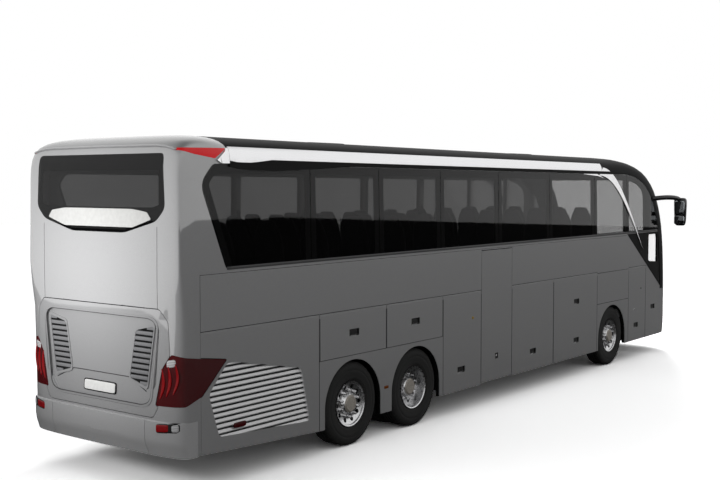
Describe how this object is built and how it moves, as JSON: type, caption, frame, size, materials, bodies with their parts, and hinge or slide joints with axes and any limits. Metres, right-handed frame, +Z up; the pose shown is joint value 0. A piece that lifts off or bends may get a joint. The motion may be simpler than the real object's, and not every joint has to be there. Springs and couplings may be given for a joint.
{
  "type": "touring coach bus",
  "caption": "High-deck three-axle touring coach with hinged luggage flaps, swing-out doors, a rear engine hatch, steered front wheels and twin drive wheels.",
  "frame": {"origin": "on the road under the middle of the coach's length and width", "axes": "+X forward, +Y to the coach's left, +Z up"},
  "size_m": [13.325, 3.2326, 3.77],
  "materials": {
    "paint": "metallic grey paint, glossy",
    "roof_black": "gloss black paint",
    "chrome": "polished",
    "glass": "dark tinted",
    "alloy": "polished",
    "tyre": "matte",
    "lamp_red": "clear red lens",
    "lamp_clear": "clear lens over silver",
    "chassis": "matt dark paint",
    "iron": "dark, dry",
    "lining": "dark lining",
    "fabric": "woven seat cloth",
    "gloss_black": "gloss black"
  },
  "bodies": {
    "coach": {"underframe": "chassis", "wheelhouses": "lining", "saloon_floor": "lining", "luggage_bay": "lining", "engine": "iron", "front_axle": "iron", "drive_axle": "iron", "tag_axle": "iron", "side_wall_right": "paint", "side_wall_left": "paint", "roof": "roof_black", "roof_trim": "chrome", "side_windows": "glass", "windscreen": "glass", "rear_window": "glass", "front_frame": "roof_black", "front_panel": "paint", "headlamps": "lamp_clear", "mirrors": "gloss_black", "rear_panel": "paint", "rear_bumper": "paint", "rear_lamps": "lamp_red", "seats": "fabric", "cockpit": "lining"},
    "engine_hatch": {"engine_hatch": "paint"},
    "engine_flap_right": {"engine_flap_right": "paint"},
    "tag_flap_right": {"tag_flap_right": "paint"},
    "drive_flap_right": {"drive_flap_right": "paint"},
    "bay_flap_1_right": {"bay_flap_1_right": "paint"},
    "bay_flap_2_right": {"bay_flap_2_right": "paint"},
    "bay_flap_3_right": {"bay_flap_3_right": "paint"},
    "cab_flap_right": {"cab_flap_right": "paint"},
    "engine_flap_left": {"engine_flap_left": "paint"},
    "tag_flap_left": {"tag_flap_left": "paint"},
    "drive_flap_left": {"drive_flap_left": "paint"},
    "bay_flap_1_left": {"bay_flap_1_left": "paint"},
    "bay_flap_2_left": {"bay_flap_2_left": "paint"},
    "bay_flap_3_left": {"bay_flap_3_left": "paint"},
    "side_door_arm": {"side_door_arm": "chassis"},
    "side_door": {"side_door": "paint"},
    "entry_door_arm": {"entry_door_arm": "chassis"},
    "entry_door": {"entry_door": "paint", "entry_door_glass": "glass"},
    "knuckle_right": {"knuckle_right": "iron"},
    "knuckle_left": {"knuckle_left": "iron"},
    "front_wheel_right": {"tyre_front_right": "tyre", "wheel_front_right": "alloy"},
    "front_wheel_left": {"tyre_front_left": "tyre", "wheel_front_left": "alloy"},
    "drive_wheel_right": {"tyre_drive_right": "tyre", "wheel_drive_right": "alloy"},
    "drive_wheel_left": {"tyre_drive_left": "tyre", "wheel_drive_left": "alloy"},
    "tag_wheel_right": {"tyre_tag_right": "tyre", "wheel_tag_right": "alloy"},
    "tag_wheel_left": {"tyre_tag_left": "tyre", "wheel_tag_left": "alloy"}
  },
  "joints": [
    {"name": "engine_hatch_hinge", "type": "hinge", "parent": "coach", "child": "engine_hatch", "pos_m": [-6.60789, 0, 1.95], "axis": [0, 1, 0], "range_deg": [0, 75]},
    {"name": "engine_flap_right_hinge", "type": "hinge", "parent": "coach", "child": "engine_flap_right", "pos_m": [0, -1.267, 1.685], "axis": [-1, 0, 0], "range_deg": [0, 90]},
    {"name": "tag_flap_right_hinge", "type": "hinge", "parent": "coach", "child": "tag_flap_right", "pos_m": [0, -1.267, 1.685], "axis": [-1, 0, 0], "range_deg": [0, 90]},
    {"name": "drive_flap_right_hinge", "type": "hinge", "parent": "coach", "child": "drive_flap_right", "pos_m": [0, -1.267, 1.685], "axis": [-1, 0, 0], "range_deg": [0, 90]},
    {"name": "bay_flap_1_right_hinge", "type": "hinge", "parent": "coach", "child": "bay_flap_1_right", "pos_m": [0, -1.267, 1.685], "axis": [-1, 0, 0], "range_deg": [0, 90]},
    {"name": "bay_flap_2_right_hinge", "type": "hinge", "parent": "coach", "child": "bay_flap_2_right", "pos_m": [0, -1.267, 1.685], "axis": [-1, 0, 0], "range_deg": [0, 90]},
    {"name": "bay_flap_3_right_hinge", "type": "hinge", "parent": "coach", "child": "bay_flap_3_right", "pos_m": [0, -1.267, 1.685], "axis": [-1, 0, 0], "range_deg": [0, 90]},
    {"name": "cab_flap_right_hinge", "type": "hinge", "parent": "coach", "child": "cab_flap_right", "pos_m": [0, -1.267, 1.685], "axis": [-1, 0, 0], "range_deg": [0, 90]},
    {"name": "engine_flap_left_hinge", "type": "hinge", "parent": "coach", "child": "engine_flap_left", "pos_m": [0, 1.267, 1.685], "axis": [1, 0, 0], "range_deg": [0, 90]},
    {"name": "tag_flap_left_hinge", "type": "hinge", "parent": "coach", "child": "tag_flap_left", "pos_m": [0, 1.267, 1.685], "axis": [1, 0, 0], "range_deg": [0, 90]},
    {"name": "drive_flap_left_hinge", "type": "hinge", "parent": "coach", "child": "drive_flap_left", "pos_m": [0, 1.267, 1.685], "axis": [1, 0, 0], "range_deg": [0, 90]},
    {"name": "bay_flap_1_left_hinge", "type": "hinge", "parent": "coach", "child": "bay_flap_1_left", "pos_m": [0, 1.267, 1.685], "axis": [1, 0, 0], "range_deg": [0, 90]},
    {"name": "bay_flap_2_left_hinge", "type": "hinge", "parent": "coach", "child": "bay_flap_2_left", "pos_m": [0, 1.267, 1.685], "axis": [1, 0, 0], "range_deg": [0, 90]},
    {"name": "bay_flap_3_left_hinge", "type": "hinge", "parent": "coach", "child": "bay_flap_3_left", "pos_m": [0, 1.267, 1.685], "axis": [1, 0, 0], "range_deg": [0, 90]},
    {"name": "side_door_arm_hinge", "type": "hinge", "parent": "coach", "child": "side_door_arm", "pos_m": [0.06734, -1.135, 1.2], "axis": [0, 0, -1], "range_deg": [-105, 0]},
    {"name": "side_door_hinge", "type": "hinge", "parent": "side_door_arm", "child": "side_door", "pos_m": [-0.53266, -1.135, 1.2], "axis": [0, 0, -1], "range_deg": [0, 105]},
    {"name": "entry_door_arm_hinge", "type": "hinge", "parent": "coach", "child": "entry_door_arm", "pos_m": [5.2675, 1.135, 1.2], "axis": [0, 0, 1], "range_deg": [-105, 0]},
    {"name": "entry_door_hinge", "type": "hinge", "parent": "entry_door_arm", "child": "entry_door", "pos_m": [4.6675, 1.135, 1.2], "axis": [0, 0, 1], "range_deg": [0, 105]},
    {"name": "steering_right", "type": "hinge", "parent": "coach", "child": "knuckle_right", "pos_m": [3.7075, -0.83, 0.52], "axis": [0, 0, 1], "range_deg": [-42, 42]},
    {"name": "steering_left", "type": "hinge", "parent": "coach", "child": "knuckle_left", "pos_m": [3.7075, 0.83, 0.52], "axis": [0, 0, 1], "range_deg": [-42, 42]},
    {"name": "front_wheel_right_spin", "type": "hinge", "parent": "knuckle_right", "child": "front_wheel_right", "pos_m": [3.7075, -1.0975, 0.52], "axis": [0, 1, 0], "continuous": true},
    {"name": "front_wheel_left_spin", "type": "hinge", "parent": "knuckle_left", "child": "front_wheel_left", "pos_m": [3.7075, 1.0975, 0.52], "axis": [0, 1, 0], "continuous": true},
    {"name": "drive_wheel_right_spin", "type": "hinge", "parent": "coach", "child": "drive_wheel_right", "pos_m": [-2.3925, -1.0975, 0.52], "axis": [0, 1, 0], "continuous": true},
    {"name": "drive_wheel_left_spin", "type": "hinge", "parent": "coach", "child": "drive_wheel_left", "pos_m": [-2.3925, 1.0975, 0.52], "axis": [0, 1, 0], "continuous": true},
    {"name": "tag_wheel_right_spin", "type": "hinge", "parent": "coach", "child": "tag_wheel_right", "pos_m": [-3.7425, -1.0975, 0.52], "axis": [0, 1, 0], "continuous": true},
    {"name": "tag_wheel_left_spin", "type": "hinge", "parent": "coach", "child": "tag_wheel_left", "pos_m": [-3.7425, 1.0975, 0.52], "axis": [0, 1, 0], "continuous": true}
  ],
  "couplings": [
    {"joint": "steering_left", "follows": "steering_right", "ratio": 1},
    {"joint": "side_door_hinge", "follows": "side_door_arm_hinge", "ratio": -1},
    {"joint": "entry_door_hinge", "follows": "entry_door_arm_hinge", "ratio": -1}
  ]
}
